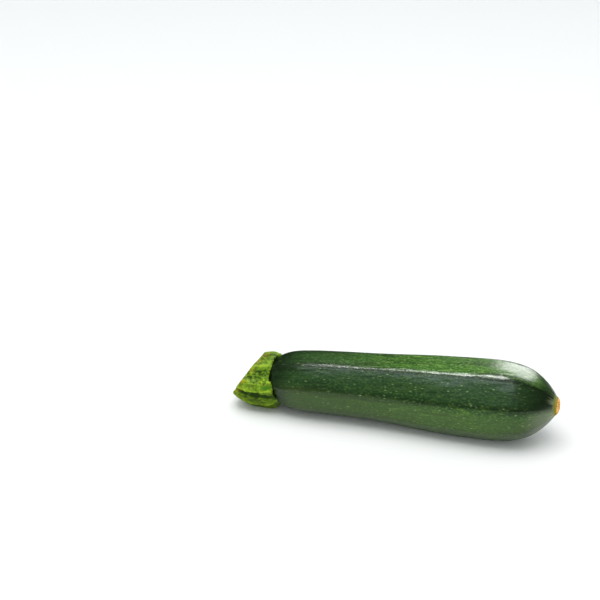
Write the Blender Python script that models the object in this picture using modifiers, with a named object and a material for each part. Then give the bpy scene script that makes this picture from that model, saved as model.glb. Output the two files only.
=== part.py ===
"""A courgette lying on a surface, as picked: the ribbed fruit, its cut stem and the corky flower scar.

Metres, +Z up. +X runs from the stem to the flower end and -Y is the side that faces the viewer.
Every piece is a coarse cage, grown ring by ring along the fruit, with a Subdivision Surface over it.
An angle round the fruit is 0 towards -Y, 90 on top and 270 underneath. Distances along it start where
the stem ends.
"""

import math

import bmesh
import bpy
from mathutils import Matrix, Vector

MM = 0.001

# The eight ridges that run from the stem to the flower end, by their angle round the fruit at the stem.
# A flat side lies between each two of them, and the ridges turn a little on their way.
RIDGE_DEG = (6.5, 55.5, 104.0, 151.0, 197.0, 244.0, 287.5, 325.0)
TWIST_DEG_PER_MM = 0.041
RIDGE_CREASE = 0.32
SIDE_FLATNESS = 1.0  # 0 leaves a round section, 1 makes each side flat
CAGE_OVER_SKIN = 1.045  # the smoothed skin lies this much inside its cage

# Fruit, in millimetres: distance past the end of the stem, ridge radius, sideways bow, axis height.
# The last two rings and the pole are the small flat seat of the flower scar.
FRUIT_STATIONS_MM = (
    (-4.8, 11.4, 0.0, 16.1),
    (-1.2, 14.4, 0.0, 16.4),
    (7.0, 17.5, 0.1, 17.7),
    (30.0, 17.9, 0.7, 19.1),
    (58.0, 19.1, 1.3, 19.5),
    (86.0, 21.1, 1.4, 20.0),
    (111.0, 22.3, 0.9, 21.0),
    (128.8, 22.2, 0.4, 21.7),
    (140.2, 19.5, 0.1, 22.2),
    (148.1, 14.0, 0.0, 22.6),
    (152.9, 8.6, -0.1, 22.8),
    (154.5, 6.0, -0.1, 22.9),
    (154.7, 5.0, -0.1, 22.9),
)
FRUIT_STEM_POLE_MM = (-6.8, 0.0, 16.1)
FRUIT_FLOWER_POLE_MM = (154.7, -0.1, 22.9)

# Stem, in millimetres: distance, crest radius, groove radius as a share of the crest, bow, axis height.
STEM_STATIONS_MM = (
    (-4.0, 16.4, 0.90, 0.0, 16.0),
    (-7.6, 16.9, 0.86, 0.0, 15.5),
    (-12.6, 16.5, 0.82, -0.2, 15.0),
    (-18.0, 16.0, 0.80, -0.5, 14.9),
    (-24.0, 14.2, 0.79, -0.9, 15.1),
    (-30.0, 10.6, 0.79, -1.3, 16.0),
    (-36.0, 7.0, 0.79, -1.7, 17.0),
)
STEM_RIM_MM = (-1.6, 15.8, 0.95, 0.0, 16.2)
STEM_UNDER_MM = ((-2.6, 14.4), (-5.8, 11.2), (-7.4, 5.5))
STEM_UNDER_POLE_MM = -7.7
STEM_UNDER_DROP_MM = 0.2  # the underside's axis lies this much lower than the rim's
LOBE_REACH_MM = 1.1  # how far each rib's lobe reaches over the fruit, and each groove stops short
FLANK_SHARE = 0.55  # how much of the groove's depth the rib's flank has

# Where the stem joins the fruit, the sections of both lean: the joint's top is nearer the plant than
# its bottom. The lean is greatest at the joint and fades out along the stem and the fruit.
JOINT_MM = -1.6
JOINT_LEAN_DEG = 7.5
LEAN_FADE_MM = 14.0

# The knife's cut: it crosses the stem's axis here, and slants so that it faces up and back.
CUT_AT_MM = -22.2
CUT_SLOPE_Y = 0.12
CUT_SLOPE_Z = 0.62
CUT_RIM_MM = 1.6
CUT_DISH_MM = 0.7

# Flower scar, in millimetres: distance, radius.
SCAR_STATIONS_MM = ((155.1, 5.2), (155.5, 5.4), (156.2, 4.7), (157.1, 3.4), (157.8, 2.1), (157.5, 1.1))
SCAR_BASE_MM = 155.05
SCAR_PIT_MM = 157.1
SCAR_AXIS_MM = (-0.1, 22.9)
SCAR_SIDES = 20
SCAR_NOTCH = 0.93  # every other side of the scar is drawn in to this share of its radius

SKIN_LEVELS = 2
STEM_LEVELS = 1
SCAR_LEVELS = 1

SHARP_DEG = 50  # edges sharper than this, such as the knife's, are shaded as edges

# Colour and roughness of each finish.
SKIN_FINISH = ((0.030, 0.105, 0.018, 1.0), 0.3)
STEM_FINISH = ((0.270, 0.450, 0.060, 1.0), 0.6)
SCAR_FINISH = ((0.620, 0.350, 0.110, 1.0), 0.8)


def clear_scene():
    """Removes the startup objects and makes the collection that the pieces go in."""
    for obj in list(bpy.data.objects):
        bpy.data.objects.remove(obj)
    pieces = bpy.data.collections.new("courgette")
    bpy.context.scene.collection.children.link(pieces)
    return pieces


def make_material(name, finish):
    """A Principled BSDF with the piece's colour and gloss."""
    colour, roughness = finish
    material = bpy.data.materials.new(name)
    material.use_nodes = True
    shader = material.node_tree.nodes["Principled BSDF"]
    shader.inputs["Base Color"].default_value = colour
    shader.inputs["Roughness"].default_value = roughness
    shader.inputs["Metallic"].default_value = 0.0
    return material


def around(angle_deg, radius=1.0):
    """The point at this angle and radius round the fruit's axis."""
    angle = math.radians(angle_deg)
    return Vector((0.0, -radius * math.cos(angle), radius * math.sin(angle)))


def sides():
    """Each side of the fruit as the angles of the ridges that bound it."""
    return [
        (low, high + (360 if high < low else 0))
        for low, high in zip(RIDGE_DEG, RIDGE_DEG[1:] + RIDGE_DEG[:1])
    ]


def fruit_section():
    """The fruit's section for a radius of 1: each ridge, then the middle of the side after it."""
    points = []
    for low, high in sides():
        half = math.radians(high - low) / 2
        middle = 1.0 - SIDE_FLATNESS * (1.0 - math.cos(half))
        points += [("crest", around(low)), ("groove", around((low + high) / 2, middle))]
    return points


def stem_section():
    """The stem's section for a radius of 1: rib, flank, groove and flank, in line with the ridges."""
    points = []
    for low, high in sides():
        step = (high - low) / 4
        kinds = ("crest", "flank", "groove", "flank")
        points += [(kind, around(low + k * step)) for k, kind in enumerate(kinds)]
    return points


def lean_at(distance_mm):
    """How far a section leans at this distance, in degrees."""
    return JOINT_LEAN_DEG * max(0.0, 1.0 - abs(distance_mm - JOINT_MM) / LEAN_FADE_MM)


def lean_ring(bm, verts, centre, lean_deg):
    """Leans a ring about its centre, its top towards the plant."""
    lean = Matrix.Rotation(math.radians(-lean_deg), 3, "Y")
    bmesh.ops.rotate(bm, cent=centre, matrix=lean, verts=verts)


def start_ring(bm, section, centre, radius, lean_deg=0.0):
    """An open ring in the shape of the section, each point marked as a crest, flank or groove."""
    kind_of = bm.verts.layers.string.new("kind")
    verts = bmesh.ops.create_circle(bm, segments=len(section), radius=1.0)["verts"]
    for vert, (kind, point) in zip(verts, section):
        vert[kind_of] = kind.encode()
        vert.co = centre + radius * point
    lean_ring(bm, verts, centre, lean_deg)
    return list({edge for vert in verts for edge in vert.link_edges})


def ring_verts(bm, edges, kind=None):
    """The points of a ring, or only those of one kind."""
    verts = {vert for edge in edges for vert in edge.verts}
    kind_of = bm.verts.layers.string.active
    return [v for v in verts if kind is None or v[kind_of] == kind.encode()]


def scale_ring(bm, verts, centre, share):
    """Widens or narrows the points of a ring about its centre."""
    to_centre = Matrix.Translation(-centre)
    bmesh.ops.scale(bm, vec=(share, share, share), space=to_centre, verts=verts)


def extend(bm, ring, centre, new_centre, share, turn_deg=0.0, lean_deg=0.0):
    """Extrudes an open ring to its next place, widens it by a share, turns it and leans it further."""
    made = bmesh.ops.extrude_edge_only(bm, edges=ring)["geom"]
    verts = [item for item in made if isinstance(item, bmesh.types.BMVert)]
    scale_ring(bm, verts, centre, share)
    turn = Matrix.Rotation(math.radians(-turn_deg), 3, "X")
    bmesh.ops.rotate(bm, cent=centre, matrix=turn, verts=verts)
    lean_ring(bm, verts, centre, lean_deg)
    bmesh.ops.translate(bm, vec=new_centre - centre, verts=verts)
    return [e for e in made if isinstance(e, bmesh.types.BMEdge) and e.is_boundary]


def close_at(bm, ring, point):
    """Closes an open ring with a fan of faces that meet at one point."""
    made = bmesh.ops.extrude_edge_only(bm, edges=ring)["geom"]
    verts = [item for item in made if isinstance(item, bmesh.types.BMVert)]
    bmesh.ops.pointmerge(bm, verts=verts, merge_co=point)


def finish_object(bm, name, levels, material, pieces):
    """Makes the cage an object, lays a Subdivision Surface over it and keeps the smoothed mesh."""
    bmesh.ops.recalc_face_normals(bm, faces=bm.faces)
    mesh = bpy.data.meshes.new(name)
    bm.to_mesh(mesh)
    bm.free()
    obj = bpy.data.objects.new(name, mesh)
    pieces.objects.link(obj)
    smooth = obj.modifiers.new("smooth", "SUBSURF")
    smooth.levels = levels
    smooth.render_levels = levels
    bpy.context.view_layer.update()
    graph = bpy.context.evaluated_depsgraph_get()
    obj.data = bpy.data.meshes.new_from_object(obj.evaluated_get(graph))
    obj.modifiers.clear()
    obj.data.materials.clear()
    obj.data.materials.append(material)
    return obj


def centre_of(station):
    """The point of the axis at a station, whose last two numbers are its bow and height."""
    return Vector((station[0], station[-2], station[-1])) * MM


def build_fruit(pieces, material):
    """The fruit: eight flat sides and soft ridges, thin at the neck and fullest near the flower end."""
    bm = bmesh.new()
    first = FRUIT_STATIONS_MM[0]
    radius = first[1] * CAGE_OVER_SKIN * MM
    ring = start_ring(bm, fruit_section(), centre_of(first), radius, lean_at(first[0]))
    close_at(bm, ring, Vector(FRUIT_STEM_POLE_MM) * MM)
    for station, after in zip(FRUIT_STATIONS_MM, FRUIT_STATIONS_MM[1:]):
        share = after[1] / station[1]
        turn_deg = TWIST_DEG_PER_MM * (after[0] - station[0])
        lean_deg = lean_at(after[0]) - lean_at(station[0])
        ring = extend(bm, ring, centre_of(station), centre_of(after), share, turn_deg, lean_deg)
    close_at(bm, ring, Vector(FRUIT_FLOWER_POLE_MM) * MM)
    crease = bm.edges.layers.float.new("crease_edge")
    kind_of = bm.verts.layers.string.active
    for edge in bm.edges:
        if all(vert[kind_of] == b"crest" for vert in edge.verts):
            edge[crease] = RIDGE_CREASE
    return finish_object(bm, "fruit", SKIN_LEVELS, material, pieces)


def groove_ring(bm, ring, centre, groove, groove_before):
    """Deepens the grooves of a stem ring, and its flanks by a part of that."""
    flank = 1.0 - FLANK_SHARE * (1.0 - groove)
    flank_before = 1.0 - FLANK_SHARE * (1.0 - groove_before)
    scale_ring(bm, ring_verts(bm, ring, "groove"), centre, groove / groove_before)
    scale_ring(bm, ring_verts(bm, ring, "flank"), centre, flank / flank_before)


def build_stem(pieces, material):
    """The stem: eight ribs that end in lobes round the fruit's neck, cut off at a slant."""
    bm = bmesh.new()
    before = STEM_RIM_MM
    rim = start_ring(bm, stem_section(), centre_of(before), before[1] * MM, lean_at(before[0]))
    ring = rim
    groove_ring(bm, ring, centre_of(before), before[2], 1.0)
    for station in STEM_STATIONS_MM:
        lean_deg = lean_at(station[0]) - lean_at(before[0])
        share = station[1] / before[1]
        ring = extend(bm, ring, centre_of(before), centre_of(station), share, lean_deg=lean_deg)
        groove_ring(bm, ring, centre_of(station), station[2], before[2])
        before = station
    close_at(bm, ring, centre_of(before))
    build_stem_underside(bm, rim)
    stem = finish_object(bm, "stem", STEM_LEVELS, material, pieces)
    cut_stem(stem)
    return stem


def build_stem_underside(bm, rim):
    """Lobes the stem's rim and closes it over the end of the fruit, just clear of it."""
    reach = Vector((LOBE_REACH_MM * MM, 0.0, 0.0))
    bmesh.ops.translate(bm, vec=reach, verts=ring_verts(bm, rim, "crest"))
    bmesh.ops.translate(bm, vec=-reach, verts=ring_verts(bm, rim, "groove"))
    centre = centre_of(STEM_RIM_MM)
    radius = STEM_RIM_MM[1]
    height = STEM_RIM_MM[-1] - STEM_UNDER_DROP_MM
    ring = rim
    for distance, under_radius in STEM_UNDER_MM:
        new_centre = Vector((distance, 0.0, height)) * MM
        ring = extend(bm, ring, centre, new_centre, under_radius / radius)
        centre = new_centre
        radius = under_radius
    close_at(bm, ring, Vector((STEM_UNDER_POLE_MM, 0.0, height)) * MM)


def cut_stem(stem):
    """Cuts the stem off along the knife's plane and leaves the face a little hollow."""
    normal = Vector((-1.0, CUT_SLOPE_Y, CUT_SLOPE_Z)).normalized()
    point = Vector((CUT_AT_MM, 0.0, STEM_STATIONS_MM[-1][-1])) * MM
    bm = bmesh.new()
    bm.from_mesh(stem.data)
    everything = bm.verts[:] + bm.edges[:] + bm.faces[:]
    bmesh.ops.bisect_plane(bm, geom=everything, plane_co=point, plane_no=normal, clear_outer=True)
    open_edges = [edge for edge in bm.edges if edge.is_boundary]
    face = bmesh.ops.contextual_create(bm, geom=open_edges)["faces"][0]
    bmesh.ops.inset_individual(bm, faces=[face], thickness=CUT_RIM_MM * MM, depth=-CUT_DISH_MM * MM)
    bmesh.ops.recalc_face_normals(bm, faces=bm.faces)
    bm.to_mesh(stem.data)
    bm.free()


def scar_section():
    """The scar's section for a radius of 1: a circle with every other point drawn in."""
    points = []
    for k in range(0, SCAR_SIDES, 2):
        points += [
            ("crest", around(k * 360 / SCAR_SIDES)),
            ("groove", around((k + 1) * 360 / SCAR_SIDES, SCAR_NOTCH)),
        ]
    return points


def build_scar(pieces, material):
    """The flower scar: a corky button with a notched edge and a pit where the style stood."""
    bm = bmesh.new()
    section = scar_section()
    centre = Vector((SCAR_STATIONS_MM[0][0], *SCAR_AXIS_MM)) * MM
    ring = start_ring(bm, section, centre, SCAR_STATIONS_MM[0][1] * MM)
    close_at(bm, ring, Vector((SCAR_BASE_MM, *SCAR_AXIS_MM)) * MM)
    for station, after in zip(SCAR_STATIONS_MM, SCAR_STATIONS_MM[1:]):
        new_centre = Vector((after[0], *SCAR_AXIS_MM)) * MM
        ring = extend(bm, ring, centre, new_centre, after[1] / station[1])
        centre = new_centre
    close_at(bm, ring, Vector((SCAR_PIT_MM, *SCAR_AXIS_MM)) * MM)
    return finish_object(bm, "blossom_scar", SCAR_LEVELS, material, pieces)


def rest_on_ground(obj):
    """Presses whatever reaches below the ground flat, as the fruit's own weight does."""
    for vert in obj.data.vertices:
        vert.co.z = max(vert.co.z, 0.0)


def centre_on_origin(pieces):
    """Hangs the pieces on an empty that puts the middle of their footprint at the origin."""
    corners = [vert.co for obj in pieces.objects for vert in obj.data.vertices]
    middle = [(min(c[k] for c in corners) + max(c[k] for c in corners)) / 2 for k in range(2)]
    carrier = bpy.data.objects.new("courgette_carrier", None)
    for obj in pieces.objects:
        obj.parent = carrier
    pieces.objects.link(carrier)
    carrier.location = (-middle[0], -middle[1], 0.0)


def shade(obj):
    """Smooth over the curves and sharp where the knife went."""
    obj.data.shade_smooth()
    obj.data.set_sharp_from_angle(angle=math.radians(SHARP_DEG))


def main():
    pieces = clear_scene()
    fruit = build_fruit(pieces, make_material("courgette_skin", SKIN_FINISH))
    stem = build_stem(pieces, make_material("courgette_stem", STEM_FINISH))
    scar = build_scar(pieces, make_material("dried_flower_scar", SCAR_FINISH))
    for obj in (fruit, stem, scar):
        rest_on_ground(obj)
        shade(obj)
    centre_on_origin(pieces)


main()
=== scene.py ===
# %% [markdown]
# # A courgette on a pale floor
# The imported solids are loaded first. They say how big the courgette is and where it lies, and they
# stay where they are. Each of the three is then replaced by a finer piece of the same form: the
# fruit, its cut stem and the corky scar that the flower left.

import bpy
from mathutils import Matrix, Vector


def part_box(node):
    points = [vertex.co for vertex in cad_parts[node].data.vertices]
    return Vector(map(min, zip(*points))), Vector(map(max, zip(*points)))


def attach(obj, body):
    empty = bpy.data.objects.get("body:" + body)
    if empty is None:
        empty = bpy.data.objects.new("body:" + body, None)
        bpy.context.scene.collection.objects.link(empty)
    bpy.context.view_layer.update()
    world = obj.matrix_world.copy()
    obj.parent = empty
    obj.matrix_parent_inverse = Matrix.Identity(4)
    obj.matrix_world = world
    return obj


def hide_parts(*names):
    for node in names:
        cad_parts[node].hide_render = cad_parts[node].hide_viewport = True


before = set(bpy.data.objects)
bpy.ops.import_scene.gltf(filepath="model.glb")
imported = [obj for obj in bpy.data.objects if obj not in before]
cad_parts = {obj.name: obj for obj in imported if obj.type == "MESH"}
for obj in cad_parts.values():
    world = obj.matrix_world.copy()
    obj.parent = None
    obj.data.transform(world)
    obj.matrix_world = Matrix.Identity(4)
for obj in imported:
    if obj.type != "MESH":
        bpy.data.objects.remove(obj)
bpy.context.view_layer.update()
print("CAD nodes:", ", ".join(sorted(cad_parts)))

# %% [markdown]
# ## Camera
# The photograph looks down on the courgette from its front right, with a long lens, and the courgette
# lies low and right of the middle. Aiming at a point above it, without any shift, gives that framing.

# %% Camera
import math

import bmesh
import bpy
import numpy as np
from mathutils import Vector

MM = 0.001
VIEW_AZIMUTH_DEG = 16
VIEW_ELEVATION_DEG = 25
VIEW_DISTANCE = 0.93  # metres from the point that it aims at
LENS_MM = 100
AIM = Vector((-0.055, 0.0, 0.068))


def towards(azimuth_deg, elevation_deg):
    """The way to an azimuth, 0 in front and 90 past the flower end, at an elevation."""
    azimuth = math.radians(azimuth_deg)
    elevation = math.radians(elevation_deg)
    flat = math.cos(elevation)
    return Vector((math.sin(azimuth) * flat, -math.cos(azimuth) * flat, math.sin(elevation)))


view_way = towards(VIEW_AZIMUTH_DEG, VIEW_ELEVATION_DEG)
bpy.ops.object.camera_add(location=AIM + VIEW_DISTANCE * view_way)
camera = bpy.context.object
camera.rotation_euler = (-view_way).to_track_quat("-Z", "Y").to_euler()
camera.data.lens = LENS_MM
bpy.context.scene.camera = camera
print("camera at", [round(value, 3) for value in camera.location])

# %% [markdown]
# ## Small helpers for materials
# Colours are written as hex values, as a colour picker shows them, and turned into the linear
# values that shaders use. One function adds any node, and another feeds a node's inputs.

# %% Helpers for materials


def linear(hex_code):
    """The linear colour of an sRGB hex value such as 2f5a24."""
    channels = [int(hex_code[k:k + 2], 16) / 255 for k in (0, 2, 4)]
    return tuple(c / 12.92 if c < 0.04045 else ((c + 0.055) / 1.055) ** 2.4 for c in channels) + (1.0,)


def feed(node, inputs):
    """Gives each of these inputs its value, or links it to another node's output."""
    for name, value in inputs.items():
        if isinstance(value, bpy.types.NodeSocket):
            node.id_data.links.new(value, node.inputs[name])
        else:
            node.inputs[name].default_value = value


def add_node(tree, kind, inputs=None, **settings):
    """Adds a node with its settings and feeds its inputs."""
    node = tree.nodes.new(kind)
    for name, value in settings.items():
        setattr(node, name, value)
    feed(node, inputs or {})
    return node


def new_material(name):
    """An empty material, its node tree, and its Principled BSDF."""
    material = bpy.data.materials.new(name)
    material.use_nodes = True
    return material, material.node_tree, material.node_tree.nodes["Principled BSDF"]


# %% [markdown]
# ## Floor and light
# The floor is plain matt board. It is nearly white, so it also throws light up under the
# courgette, as in the photograph, where the sides that face the floor are greyer and paler. On the
# skin, part of that greyer look is a painted reflection.
# The light is soft: a pale sky and one large softbox overhead, a little in front. Three more
# lights are only mirrored in the wax. A strip high over the stem's half draws the broken line on
# the ridge, a box behind the flower end makes the wide patch there, and a cool panel high in
# front leaves a grey sheen on the upper half of the side that faces the viewer.

# %% Floor
BOARD_COLOUR = "f1f1ef"
FLOOR_SIZE = 8.0  # metres
FLOOR_DROP = 0.2 * MM  # just under the courgette's flat spot, so that the two don't flicker
bpy.ops.mesh.primitive_plane_add(size=FLOOR_SIZE, location=(0, 0, -FLOOR_DROP))
floor = bpy.context.object
floor.name = "floor"
board, tree, shader = new_material("matt_white_board")
feed(shader, {"Base Color": linear(BOARD_COLOUR), "Roughness": 0.9, "Specular IOR Level": 0.15})
floor.data.materials.append(board)
print("floor:", FLOOR_SIZE, "m square")

# %% Light
SKY_COLOUR = "e9edf0"
SKY_FOR_MATT = 1.0  # what lights the matt surfaces
SKY_IN_GLOSS = 0.02  # what the wax mirrors where no softbox is
BACKDROP_COLOUR = "e6e9ea"
BACKDROP_STRENGTH = 1.0

world = bpy.data.worlds.new("studio")
world.use_nodes = True
bpy.context.scene.world = world
sky = world.node_tree
ray = add_node(sky, "ShaderNodeLightPath")
for_matt, in_gloss, backdrop = [
    add_node(sky, "ShaderNodeBackground", {"Color": linear(hex_code), "Strength": strength}).outputs[0]
    for hex_code, strength in (
        (SKY_COLOUR, SKY_FOR_MATT), (SKY_COLOUR, SKY_IN_GLOSS), (BACKDROP_COLOUR, BACKDROP_STRENGTH))
]
lighting = add_node(sky, "ShaderNodeMixShader", {0: ray.outputs["Is Glossy Ray"], 1: for_matt, 2: in_gloss})
seen = add_node(sky, "ShaderNodeMixShader", {
    0: ray.outputs["Is Camera Ray"], 1: lighting.outputs[0], 2: backdrop})
feed(sky.nodes["World Output"], {"Surface": seen.outputs[0]})


def add_softbox(name, azimuth_deg, elevation_deg, distance, size, watts,
                hex_code="ffffff", matt=False, slide=0.0):
    """A rectangular light that faces the courgette, slid along it by some metres. One for matt
    surfaces isn't mirrored; one that isn't for them is only mirrored, and casts no shadow."""
    way = towards(azimuth_deg, elevation_deg)
    bpy.ops.object.light_add(type="AREA", location=way * distance + Vector((slide, 0, 0)))
    lamp = bpy.context.object
    lamp.name = name
    lamp.rotation_euler = way.to_track_quat("Z", "Y").to_euler()
    lamp.data.shape = "RECTANGLE"
    lamp.data.size, lamp.data.size_y = size
    lamp.data.energy = watts
    lamp.data.color = linear(hex_code)[:3]
    lamp.visible_camera = False
    lamp.visible_diffuse = matt
    lamp.visible_glossy = not matt


# Azimuth and elevation in degrees, distance and size in metres, and watts.
add_softbox("overhead_softbox", 340, 80, 1.4, (1.5, 1.0), 11.5, matt=True)
add_softbox("ridge_strip", 180, 84, 1.3, (0.4, 0.36), 24, slide=-0.21)
add_softbox("flower_end_softbox", 169, 33, 1.2, (0.58, 0.5), 12)
add_softbox("front_panel", 348, 57, 1.5, (1.04, 0.37), 9, "dceef0")
bpy.context.scene.view_settings.view_transform = "Standard"

# %% [markdown]
# ## How the pieces are grown
# All three pieces are tubes that change section along the fruit. So each starts as a circle, whose
# points are slid to their places, and grows ring by ring: extrude the open edge, widen or narrow
# it, turn it. The ends are closed by merging a last ring to one point.
#
# Lengths along the fruit are counted from where its stem ends, as in the CAD model, and those on
# the stem are below zero. The box of the CAD fruit says where the zero is.

# %% Where the fruit's zero is
FRUIT_LENGTH_MM = 154.7
SCAR_AXIS_MM = (-0.1, 22.9)
scar_low, scar_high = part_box("blossom_scar")
zero = Vector((
    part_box("fruit")[1].x - FRUIT_LENGTH_MM * MM,
    (scar_low.y + scar_high.y) / 2 - SCAR_AXIS_MM[0] * MM,
    0.0,
))
print("the stem ends at", [round(value / MM, 2) for value in zero], "mm")


def place(distance_mm, bow_mm, height_mm):
    """A point in the frame from a distance along the fruit, a sideways bow and a height."""
    return zero + Vector((distance_mm, bow_mm, height_mm)) * MM


def around(angle_deg, radius=1.0):
    """A point round the axis: 0 is towards the viewer, 90 on top and 270 underneath."""
    angle = math.radians(angle_deg)
    return Vector((0.0, -radius * math.cos(angle), radius * math.sin(angle)))


# %% Growing a tube


def lean_ring(centre, lean_deg):
    """Leans the selected ring about its centre, its top towards the plant."""
    if lean_deg:
        bpy.ops.transform.rotate(value=math.radians(lean_deg), orient_axis="Y", center_override=centre)


def start_ring(name, section, centre, radius, lean_deg=0.0):
    """Adds a circle, slides its points to the section and leaves it in edit mode, all selected."""
    bpy.ops.object.select_all(action="DESELECT")
    bpy.ops.mesh.primitive_circle_add(vertices=len(section), radius=radius, location=(0, 0, 0))
    piece = bpy.context.object
    piece.name = name
    for vert, point in zip(piece.data.vertices, section):
        vert.co = centre + radius * point
    bpy.ops.object.mode_set(mode="EDIT")
    bpy.ops.mesh.select_mode(type="VERT")
    bpy.ops.mesh.select_all(action="SELECT")
    lean_ring(centre, lean_deg)
    return piece


def grow_ring(centre, new_centre, share, turn_deg=0.0, lean_deg=0.0):
    """Extrudes the selected open ring, then widens the new one, turns it and leans it further."""
    bpy.ops.mesh.extrude_region_move(TRANSFORM_OT_translate={"value": new_centre - centre})
    bpy.ops.transform.resize(value=(share, share, share), center_override=new_centre)
    if turn_deg:
        bpy.ops.transform.rotate(value=math.radians(turn_deg), orient_axis="X", center_override=new_centre)
    lean_ring(new_centre, lean_deg)


def close_ring(pole):
    """Extrudes the selected open ring and merges the new one to a single point."""
    bpy.ops.mesh.extrude_region_move(TRANSFORM_OT_translate={"value": (0, 0, 0)})
    bpy.ops.mesh.merge(type="CENTER")
    piece = bpy.context.object
    mesh = bmesh.from_edit_mesh(piece.data)
    for vert in mesh.verts:
        if vert.select:
            vert.co = pole
    bmesh.update_edit_mesh(piece.data)


# %% Picking points


def pick_open_edge():
    """In edit mode, selects the open edge of the mesh."""
    bpy.ops.mesh.select_mode(type="EDGE")
    bpy.ops.mesh.select_all(action="DESELECT")
    bpy.ops.mesh.select_non_manifold(extend=False, use_wire=False, use_multi_face=False,
                                     use_non_contiguous=False, use_verts=False)
    bpy.ops.mesh.select_mode(type="VERT")


def pick(test):
    """In edit mode, selects just the points that pass a test."""
    bpy.ops.mesh.select_mode(type="VERT")
    bpy.ops.mesh.select_all(action="DESELECT")
    piece = bpy.context.object
    mesh = bmesh.from_edit_mesh(piece.data)
    for vert in mesh.verts:
        vert.select = bool(test(vert.co))
    mesh.select_flush(True)
    bmesh.update_edit_mesh(piece.data)


# %% Modifiers


def apply_modifier(piece, kind, **settings):
    """Adds a modifier with its settings and applies it."""
    bpy.ops.object.select_all(action="DESELECT")
    bpy.context.view_layer.objects.active = piece
    piece.select_set(True)
    modifier = piece.modifiers.new(kind.lower(), kind)
    for name, value in settings.items():
        setattr(modifier, name, value)
    bpy.ops.object.modifier_apply(modifier=modifier.name)


def smooth_cage(piece, levels):
    """Turns the faces of a finished cage outwards and lays a Subdivision Surface over it."""
    bpy.ops.mesh.select_all(action="SELECT")
    bpy.ops.mesh.normals_make_consistent(inside=False)
    bpy.ops.object.mode_set(mode="OBJECT")
    apply_modifier(piece, "SUBSURF", levels=levels, render_levels=levels)


# %% [markdown]
# ## The fruit's form
# A courgette grows with a few long ridges, one over each main strand of fibre, and a flat side
# between each two. This one is slim at the neck and fullest three quarters of the way along,
# its ridges turn a few degrees on their way, and it rests on one flat side. A cage
# of sixteen points to the ring, a ridge and the middle of a side in turn, holds all of that,
# and creased ridge edges keep the ridges tighter than the sides. Where stem and fruit meet, the
# sections of both lean a little, because the joint's top is nearer the plant than its bottom.

# %% Fruit cage
RIDGE_DEG = (6.5, 55.5, 104.0, 151.0, 197.0, 244.0, 287.5, 325.0)
TWIST_DEG_PER_MM = 0.041
RIDGE_CREASE = 0.32
CAGE_OVER_SKIN = 1.045  # a cage is larger than the smooth skin that it carries

# Distance, ridge radius, sideways bow and axis height, in millimetres.
FRUIT_STATIONS_MM = (
    (-4.8, 11.4, 0.0, 16.1),
    (-1.2, 14.4, 0.0, 16.4),
    (7.0, 17.5, 0.1, 17.7),
    (30.0, 17.9, 0.7, 19.1),
    (58.0, 19.1, 1.3, 19.5),
    (86.0, 21.1, 1.4, 20.0),
    (111.0, 22.3, 0.9, 21.0),
    (128.8, 22.2, 0.4, 21.7),
    (140.2, 19.5, 0.1, 22.2),
    (148.1, 14.0, 0.0, 22.6),
    (152.9, 8.6, -0.1, 22.8),
    (154.5, 6.0, -0.1, 22.9),
    (154.7, 5.0, -0.1, 22.9),
)
STEM_POLE_MM = (-6.8, 0.0, 16.1)
FLOWER_POLE_MM = (FRUIT_LENGTH_MM, -0.1, 22.9)
JOINT_MM = -1.6
JOINT_LEAN_DEG = 7.5
LEAN_FADE_MM = 14.0
NEXT_RIDGE_DEG = RIDGE_DEG[1:] + (RIDGE_DEG[0] + 360,)
SIDE_DEG = [(ridge + after) / 2 for ridge, after in zip(RIDGE_DEG, NEXT_RIDGE_DEG)]


def lean_at(distance_mm):
    """How far a section leans at this distance, in degrees: most where stem and fruit meet."""
    return JOINT_LEAN_DEG * max(0.0, 1.0 - abs(distance_mm - JOINT_MM) / LEAN_FADE_MM)


def ridged_section():
    """Each ridge at a radius of 1, then the middle of the flat side after it."""
    section = []
    for ridge, middle in zip(RIDGE_DEG, SIDE_DEG):
        section += [around(ridge), around(middle, math.cos(math.radians(middle - ridge)))]
    return section


def centre_of(station):
    """The axis at a station, whose last two numbers are its bow and height."""
    return place(station[0], station[-2], station[-1])


first = FRUIT_STATIONS_MM[0]
first_radius = first[1] * CAGE_OVER_SKIN * MM
fruit = start_ring("courgette_fruit", ridged_section(), centre_of(first), first_radius, lean_at(first[0]))
for station, after in zip(FRUIT_STATIONS_MM, FRUIT_STATIONS_MM[1:]):
    turn_deg = TWIST_DEG_PER_MM * (after[0] - station[0])
    lean_deg = lean_at(after[0]) - lean_at(station[0])
    grow_ring(centre_of(station), centre_of(after), after[1] / station[1], turn_deg, lean_deg)
close_ring(place(*FLOWER_POLE_MM))
pick_open_edge()
close_ring(place(*STEM_POLE_MM))
print("fruit cage:", len(bmesh.from_edit_mesh(fruit.data).verts), "points")

# %% [markdown]
# The ridges are told from the sides by their angle round the axis, less the turn that the fruit
# has made by then. The same two measures, distance and angle, later steer the skin's pattern.

# %% Ridges
NEAR_DEG = 4.0  # a point this close to a line counts as on it


def place_on(point, stations, turn_deg_per_mm=0.0):
    """How far along a point lies, in millimetres, and its angle, less the turn made by then."""
    distance, across, up = (Vector(point) - zero) / MM
    rings = sorted(stations)
    along = [ring[0] for ring in rings]
    bow, height = [np.interp(distance, along, [ring[k] for ring in rings]) for k in (-2, -1)]
    turn_deg = turn_deg_per_mm * (distance - along[0])
    return distance, (math.degrees(math.atan2(up - height, bow - across)) - turn_deg) % 360


def fruit_place(point):
    """A point's distance along the fruit and its angle, as if the fruit had no turn."""
    return place_on(point, FRUIT_STATIONS_MM, TWIST_DEG_PER_MM)


def off_by(angle_deg, lines_deg):
    """The least angle from a direction to any of some lines."""
    return min(abs((angle_deg - line + 180) % 360 - 180) for line in lines_deg)


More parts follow.
